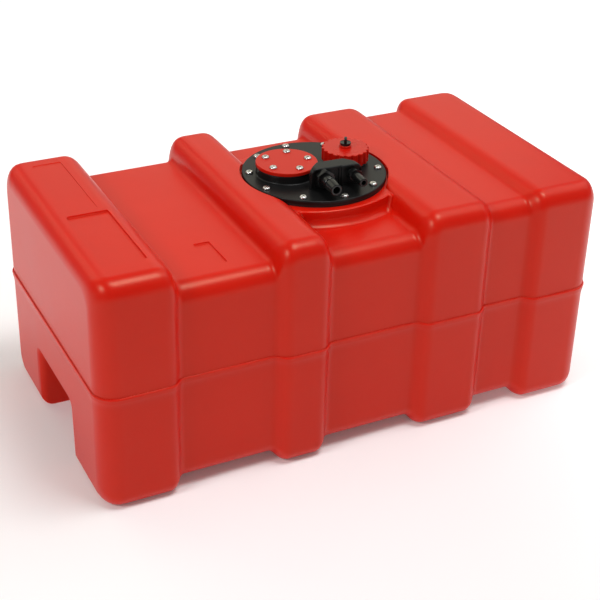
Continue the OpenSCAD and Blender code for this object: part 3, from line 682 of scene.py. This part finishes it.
def makeBlock():
    b = blockSize
    fuelFront, (toolFront, toolBack) = b["front"] - b["step"], b["toolY"]
    low = (b["left"], b["front"], deckZ - b["sink"])
    block = addBlock("outletBlock", low, (b["right"], b["back"], b["top"]))
    openMesh(block)
    cutLevels([b["split"]], (1, 0, 0))
    pickFaces(block, lambda c, n: n.y < -0.9 and c.x > b["split"] * mm)
    bpy.ops.mesh.extrude_region_move(TRANSFORM_OT_translate={"value": (0, -b["step"] * mm, 0)})
    closeMesh()

    def atCorner(x, y):
        return lambda p, q, angle: (
            abs(p.z - q.z) > 5 * mm and abs(p.x - x * mm) < near and abs(p.y - y * mm) < near)
    for x in (b["left"], b["right"]):
        roundEdges(block, atCorner(x, b["back"]), b["cut"], 1)
    roundEdges(block, atCorner(b["left"], b["front"]), b["frontR"], 6)
    roundEdges(block, atCorner(b["right"], fuelFront), b["sideR"], 4)
    carve(block, blockOutline(b["left"], b["right"], 0, toolFront, toolBack), "INTERSECT")
    roundEdges(block, lambda p, q, angle: angle > b["edgeAngle"] and max(p.z, q.z) > deckZ * mm, b["edge"], 4)
    pocket = blockOutline(b["left"], b["right"], b["lip"], toolFront, b["front"] + b["pocket"])
    side = addBlock("side", b["sideLow"], (b["split"] - b["lip"], 0, clearZ))
    carve(pocket, side, "INTERSECT")
    carve(block, pocket)
    carve(block, blockOutline(b["split"], b["right"], b["lip"], toolFront, fuelFront + b["pocket"]))
    moveTo(block, (plateX, 0, 0), b["turn"])
    return block


threadSize = dict(deep=1.2, sunk=0.2, half=0.32, steps=40)  # shares of the ridge and the lead, steps a turn


def makeThread(r, ridge, low, lead, turns):
    t, high = threadSize, ridge - r
    clearPick()
    bpy.ops.mesh.primitive_circle_add(vertices=4, radius=1, rotation=(math.pi / 2, 0, 0))
    thread = bpy.context.object
    thread.scale = (high * t["deep"] * mm, lead * t["half"] * mm, 1)
    thread.location = ((r - high * t["sunk"]) * mm, 0, low * mm)
    settle(thread, "neckThread")
    steps = int(t["steps"] * turns)
    finishWith(thread, "SCREW", axis="Z", angle=2 * math.pi * turns, screw_offset=lead * turns * mm,
               steps=steps, render_steps=steps, use_merge_vertices=False)
    openMesh(thread)
    bpy.ops.mesh.select_all(action="DESELECT")
    bpy.ops.mesh.select_non_manifold()
    bpy.ops.mesh.fill()
    bpy.ops.mesh.select_all(action="SELECT")
    bpy.ops.mesh.normals_make_consistent(inside=False)
    closeMesh()
    return thread


def makePlate():
    p, b, n, t = plateSize, bossSize, neckSize, tubeSize
    plate = addCylinder("flangePlate", p["r"], p["low"], deckZ, (plateX, 0), 144)
    roundEdges(plate, isRim(deckZ), p["rim"], 4)
    roundEdges(plate, isRim(p["low"]), p["lowRim"], 2)
    carve(plate, addBoss("boss", b["r"], b["top"], b["at"], 96), "UNION")
    carve(plate, addBoss("collar", n["collarR"], n["collarTop"], n["at"], 80), "UNION")
    carve(plate, makeBlock(), "UNION")
    tubeBoss = addCylinder("tubeBoss", t["r"], t["low"], p["low"] + p["sink"], onPlate(t["at"]), 48)
    carve(plate, tubeBoss, "UNION")
    neck = addCylinder("neck", n["rootR"], deckZ - p["sink"], n["top"], onPlate(n["at"]), 80)
    roundEdges(neck, isRim(n["top"]), n["rim"], 2)
    thread = makeThread(n["rootR"], n["ridgeR"], n["collarTop"] + n["threadUp"], n["lead"], n["turns"])
    moveTo(thread, (*onPlate(n["at"]), 0))
    carve(neck, thread, "UNION")
    carve(plate, neck, "UNION")
    holes = [addCylinder("hole", p["holeR"], *p["holeZ"], at, 20)
             for at in onRing(p["screwR"], p["screws"], p["first"])]
    holes += [addCylinder("hole", b["insertR"], b["top"] - b["insertL"], throughZ[1], at, 20)
              for at in onRing(b["screwR"], b["screws"], b["first"], b["at"])]
    for form, r in ((b, b["portR"]), (n, n["boreR"])):
        holes.append(addCylinder("hole", r, *throughZ, onPlate(form["at"]), 72))
    holes.append(addCylinder("hole", t["boreR"], throughZ[0], t["top"], onPlate(t["at"]), 32))
    for tail in (ventTail, fuelTail):
        socket = addCylinder("hole", tail["rings"][0][1] + socketPlay, *socketSpan, (0, 0), 32)
        moveTo(socket, onBlock(tail["x"], tail["face"], tailZ), blockSize["turn"], 90)
        holes.append(socket)
    carve(plate, joinAll(holes, "holes"))
    smooth(plate, 35)
    fit(plate, "tank", ["flange_plate"], fittingBlack)


# hose tails: a turned barrel through a hexagon with rounded corners
tailZ = 305
socketPlay, socketSpan = 0.05, (-6.5, 5)  # the tails' sockets in the block
nutSize = dict(turned=0.985, roundShare=0.13, edge=0.35, edgeAngle=0.6)  # shares of the corner radius
borePast = 1  # the bore's tool reaches past both ends
ventTail = dict(
    name="ventHoseTail", node="vent_hose_tail", x=-10.5, face=blockSize["front"],
    hexAcross=22, hexHigh=8, boreR=4.5,  # rings are (distance from the block, radius)
    rings=((-6, 6.5), (0.2, 6.5), (0.4, 7.4), (8.1, 7.4), (8.7, 8), (19.2, 8), (19.6, 7.7), (19.8, 6.9),
           (21.4, 6.9), (21.6, 7.7), (22, 8.1), (25, 8.1), (36.2, 7), (36.8, 6.8), (37.1, 6.4)))
fuelTail = dict(
    name="fuelHoseTail", node="fuel_hose_tail", x=28, face=blockSize["front"] - blockSize["step"],
    hexAcross=15, hexHigh=7, boreR=3,
    rings=((-6, 4.8), (0.2, 4.8), (0.4, 5.1), (7.2, 5.3), (7.6, 5.4),
           (27.3, 5.3), (27.9, 5.1), (28.2, 4.7)))


def makeTail(t):
    rings = t["rings"]
    inner, outer = rings[0][0], rings[-1][0]
    barrel = addCylinder(t["name"], 2 * blankR, inner, outer, (0, 0), 64)
    turnProfile(barrel, rings)
    corner = t["hexAcross"] / math.sqrt(3)
    nut = addCylinder("nut", corner, 0, t["hexHigh"], (0, 0), 6)
    turned = addCylinder("turned", corner * nutSize["turned"], 0, t["hexHigh"], (0, 0), 64)
    roundEdges(turned, lambda a, b, angle: abs(a.z - b.z) < nearer and angle > sharpAngle,
               corner * nutSize["roundShare"], 3)
    carve(nut, turned, "INTERSECT")
    roundEdges(nut, lambda a, b, angle: abs(a.z - b.z) > 1.5 * mm and angle > nutSize["edgeAngle"],
               nutSize["edge"], 2)
    carve(barrel, nut, "UNION")
    carve(barrel, addCylinder("bore", t["boreR"], inner - borePast, outer + borePast, (0, 0), 40))
    moveTo(barrel, onBlock(t["x"], t["face"], tailZ), blockSize["turn"], 90)
    smooth(barrel, 30)
    fit(barrel, "tank", [t["node"]], tailBlack)


makePlate()
for tail in (ventTail, fuelTail):
    makeTail(tail)
print("flange plate and hose tails done")

coverSize = dict(r=37.75, low=302.2, top=306.4, rim=0.7, lowRim=0.4)


def makeCover():
    c, b = coverSize, bossSize
    cover = addCylinder("senderCover", c["r"], c["low"], c["top"], onPlate(b["at"]), 112)
    roundEdges(cover, isRim(c["top"]), c["rim"], 3)
    roundEdges(cover, isRim(c["low"]), c["lowRim"], 2)
    holes = [addCylinder("hole", plateSize["holeR"], deckZ, throughZ[1], at, 20)
             for at in onRing(b["screwR"], b["screws"], b["first"], b["at"])]
    carve(cover, joinAll(holes, "holes"))
    smooth(cover, 35)
    fit(cover, "tank", ["sender_cover"], coverRed)


makeCover()

screwSize = dict(headR=4.75, headH=2.75, crown=2.0, underR=0.25, socket=3, socketDeep=1.5, socketTop=5,
                 shankR=2.45, rootR=2.1, pitch=0.8, tip=0.5, lead=0.6, plain=1, sink=0.5)


def makeScrew(reach):
    s = screwSize
    screw = addCylinder("screw", s["headR"], 0, s["headH"], (0, 0), 40)
    roundEdges(screw, isRim(s["headH"]), s["crown"], 6)
    roundEdges(screw, isRim(0), s["underR"], 2)
    corner, low = s["socket"] / math.sqrt(3), s["headH"] - s["socketDeep"]
    carve(screw, addCylinder("socket", corner, low, s["socketTop"], (0, 0), 6))
    shank = addCylinder("shank", blankR, -reach, s["sink"], (0, 0), 20)
    start, count = -reach + s["lead"], int((reach - s["plain"]) / s["pitch"] * 2)
    rings = [(-reach, s["rootR"] - s["tip"])]
    rings += [(start + i * s["pitch"] / 2, s["shankR"] if i % 2 else s["rootR"]) for i in range(count)]
    rings.append((s["sink"], s["rootR"]))
    turnProfile(shank, rings)
    carve(screw, shank, "UNION")
    smooth(screw, 35)
    return screw


def setScrews(name, node, form, seat, at=(0, 0)):
    first = makeScrew(form["screwL"])
    for i, place in enumerate(onRing(form["screwR"], form["screws"], form["first"], at)):
        screw = first.copy()
        screw.data = first.data.copy()
        screw.name = screw.data.name = "%s%02d" % (name, i + 1)
        bpy.context.collection.objects.link(screw)
        moveTo(screw, (*place, seat), draw.uniform(0, 90))
        fit(screw, "tank", [node], screwSteel)
    bpy.data.objects.remove(first)


setScrews("flangeScrew", "flange_screws", plateSize, deckZ)
setScrews("senderScrew", "sender_screws", bossSize, coverSize["top"], bossSize["at"])
print("cover and screws done")

capSize = dict(
    r=29.2, low=295.2, top=311.2, roof=308, boreR=21.6, borePast=2, rim=0.9, lowRim=0.5, turn=8,
    flutes=20, dips=(2.2, 1.95, 1.1, 0, 0, 0, 0, 0, 1.1, 1.95),  # depths along one flute
    bossR=7.5, bossTop=314, bossRim=0.7, bossSink=1, stemR=3.55, stemPast=3)


def makeCap():
    c = capSize
    each = len(c["dips"])
    cap = addCylinder("fillerCap", c["r"], c["low"], c["top"], (0, 0), c["flutes"] * each)
    step = 2 * math.pi / (c["flutes"] * each)
    openMesh(cap)
    for dip in sorted(set(c["dips"]) - {0}):
        share = 1 - dip / c["r"]
        pickVerts(cap, lambda co: c["dips"][round(math.atan2(co.y, co.x) / step) % each] == dip)
        bpy.ops.transform.resize(value=(share, share, 1), center_override=(0, 0, 0))
    closeMesh()
    roundEdges(cap, isRim(c["top"]), c["rim"], 4)
    roundEdges(cap, isRim(c["low"]), c["lowRim"], 2)
    carve(cap, addCylinder("bore", c["boreR"], c["low"] - c["borePast"], c["roof"], (0, 0), 96))
    boss = addCylinder("boss", c["bossR"], c["top"] - c["bossSink"], c["bossTop"], (0, 0), 64)
    roundEdges(boss, isRim(c["bossTop"]), c["bossRim"], 3)
    carve(cap, boss, "UNION")
    low, high = c["roof"] - c["stemPast"], c["bossTop"] + c["stemPast"]
    carve(cap, addCylinder("stemHole", c["stemR"], low, high, (0, 0), 48))
    moveTo(cap, (*onPlate(neckSize["at"]), 0), c["turn"])
    smooth(cap, 35)
    fit(cap, "filler_cap", ["filler_cap"], capRed)


knobSize = dict(
    r=6.8, low=315.2, top=317.6, lowRim=0.5, rim=0.3, dish=0.8, dishShare=0.85, lip=1.1,
    bladeW=9, bladeT=3.6, bladeLow=316.2, bladeTop=323.6, bladeTurn=61, bladeR=2.6,
    bladeEdge=0.7, edgeAngle=0.8, edgeLow=316.5,
    stem=((302.8, 2.9), (303.4, 3.5), (303.95, 3.5), (304, 2.9),  # with a groove for the clip
          (305.2, 2.9), (305.25, 3.5), (315.6, 3.5)))


def makeKnob():
    k = knobSize
    knob = addCylinder("ventKnob", k["r"], k["low"], k["top"], (0, 0), 64)
    roundEdges(knob, isRim(k["low"]), k["lowRim"], 2)
    openMesh(knob)
    pickFaces(knob, lambda c, n: n.z > 0.9)
    bpy.ops.mesh.inset(thickness=k["lip"] * mm)
    bpy.ops.transform.translate(value=(0, 0, -k["dish"] * mm))
    bpy.ops.transform.resize(value=(k["dishShare"], k["dishShare"], 1), center_override=(0, 0, 0))
    closeMesh()
    roundEdges(knob, isRim(k["top"]), k["rim"], 2)
    wide, thick = k["bladeW"] / 2, k["bladeT"] / 2
    blade = addBlock("blade", (-wide, -thick, k["bladeLow"]), (wide, thick, k["bladeTop"]))
    roundEdges(blade, lambda a, b, angle: abs(a.y - b.y) > 1 * mm and a.z > k["top"] * mm, k["bladeR"], 6)
    roundEdges(blade, lambda a, b, angle: angle > k["edgeAngle"] and max(a.z, b.z) > k["edgeLow"] * mm,
               k["bladeEdge"], 3)
    moveTo(blade, (0, 0, 0), k["bladeTurn"])
    carve(knob, blade, "UNION")
    stem = addCylinder("stem", blankR, k["stem"][0][0], k["stem"][-1][0], (0, 0), 40)
    turnProfile(stem, k["stem"])
    carve(knob, stem, "UNION")
    moveTo(knob, (*onPlate(neckSize["at"]), 0))
    smooth(knob, 35)
    fit(knob, "vent_knob", ["vent_knob"], tailBlack)


makeCap()
makeKnob()
print("filler cap and vent knob done")

# pieces whose solids are right keep their shape and get a finish
for node, finish in dict(
        flange_inserts=insertBrass, sender_inserts=insertBrass, flange_gasket=rubber, sender_gasket=rubber,
        vent_tail_seal=rubber, fuel_tail_seal=rubber, cap_seal=rubber, vent_seal=rubber,
        pickup_tube=tubeBlack, strainer_body=tubeBlack, strainer_gauze=gauze, vent_clip=screwSteel).items():
    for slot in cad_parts[node].material_slots:
        slot.material = finish

# stage, lights and camera
floorSize = dict(side=36, left=0.06, right=0.5, far=0.35,  # the floor glows though it is no lamp, painted light: the glow keeps the floor pale to its edges, lifts the tank's shadow and lights the tank, brightest at the front right, where the tank's right front faces reflect it
                 alongX=(0, 0.8), alongY=(0.1, 1.1))  # where the glow changes, in metres
clearPick()
bpy.ops.mesh.primitive_plane_add(size=floorSize["side"], location=(0, 0, 0))
floor = bpy.context.object
floor.name = "floor"
pale = Finish("glowingPaleFloor")
cloud = pale.noise(1.5, 2)
right = pale.rise(pale.axis("X"), *floorSize["alongX"])
far = pale.rise(pale.axis("Y"), *floorSize["alongY"])
# painted light: the floor's glow is faint at the left and strong at the front right, giving a painted
# reflection in the tank's front faces, and strong at the far back
shine = floorSize["left"] + right * (floorSize["right"] - floorSize["left"])
shine = shine + far * (floorSize["far"] - shine)
floor.data.materials.append(pale.set(
    Base_Color=pale.mix(cloud, (0.92, 0.92, 0.92, 1), (0.95, 0.95, 0.95, 1)),
    Roughness=0.7 + cloud * 0.1, Specular_IOR_Level=0.2,
    # the emission below is the painted light of the glowing floor
    Emission_Color=pale.mix(shine, (0, 0, 0, 1), (1, 1, 1, 1)), Emission_Strength=1))

lampAim = (0, 0, 0.2)
lamps = dict(  # place, width, power and colour, in metres and watts
    top=((0.4, -0.6, 2.8), 1, 36, (1, 1, 1)),
    key=((-2.1, -0.6, 1.75), 0.7, 23, (1, 1, 1)),
    rightTop=((1.8, 0, 2.2), 1.8, 14.5, (1, 1, 1)),
    leftBack=((-1, 1.8, 2), 1.6, 8, (1, 0.97, 0.75)),
    back=((1.1, 2.3, 1.6), 2, 7.5, (1, 0.97, 0.75)))


def addLamp(name, place, width, power, colour):
    bpy.ops.object.light_add(type="AREA", location=place)
    lamp = bpy.context.object
    lamp.name = name
    lamp.data.size = width
    lamp.data.energy = power
    lamp.data.color = colour
    away = [p - a for p, a in zip(place, lampAim)]
    flat = math.hypot(away[0], away[1])
    lamp.rotation_euler = (math.atan2(flat, away[2]), 0, math.atan2(away[1], away[0]) + math.pi / 2)


for name, values in lamps.items():
    addLamp(name, *values)

scene = bpy.context.scene
scene.view_settings.view_transform = "Standard"
world = bpy.data.worlds.new("studio")
scene.world = world
world.use_nodes = True
sky = world.node_tree.nodes["Background"].inputs
sky["Color"].default_value = (1, 1, 1, 1)
sky["Strength"].default_value = 0.23

view = dict(place=(-0.69024, -1.352428, 0.981846), turn=(61.16013, -1.104316, -25.853523),
            lens=81.98582, shift=(0.023419, -0.037997))
bpy.ops.object.camera_add(location=view["place"], rotation=[math.radians(a) for a in view["turn"]])
camera = bpy.context.object
camera.data.sensor_width = 36
camera.data.lens = view["lens"]
camera.data.shift_x, camera.data.shift_y = view["shift"]
camera.data.clip_start, camera.data.clip_end = 0.05, 50
scene.camera = camera
print("stage done")
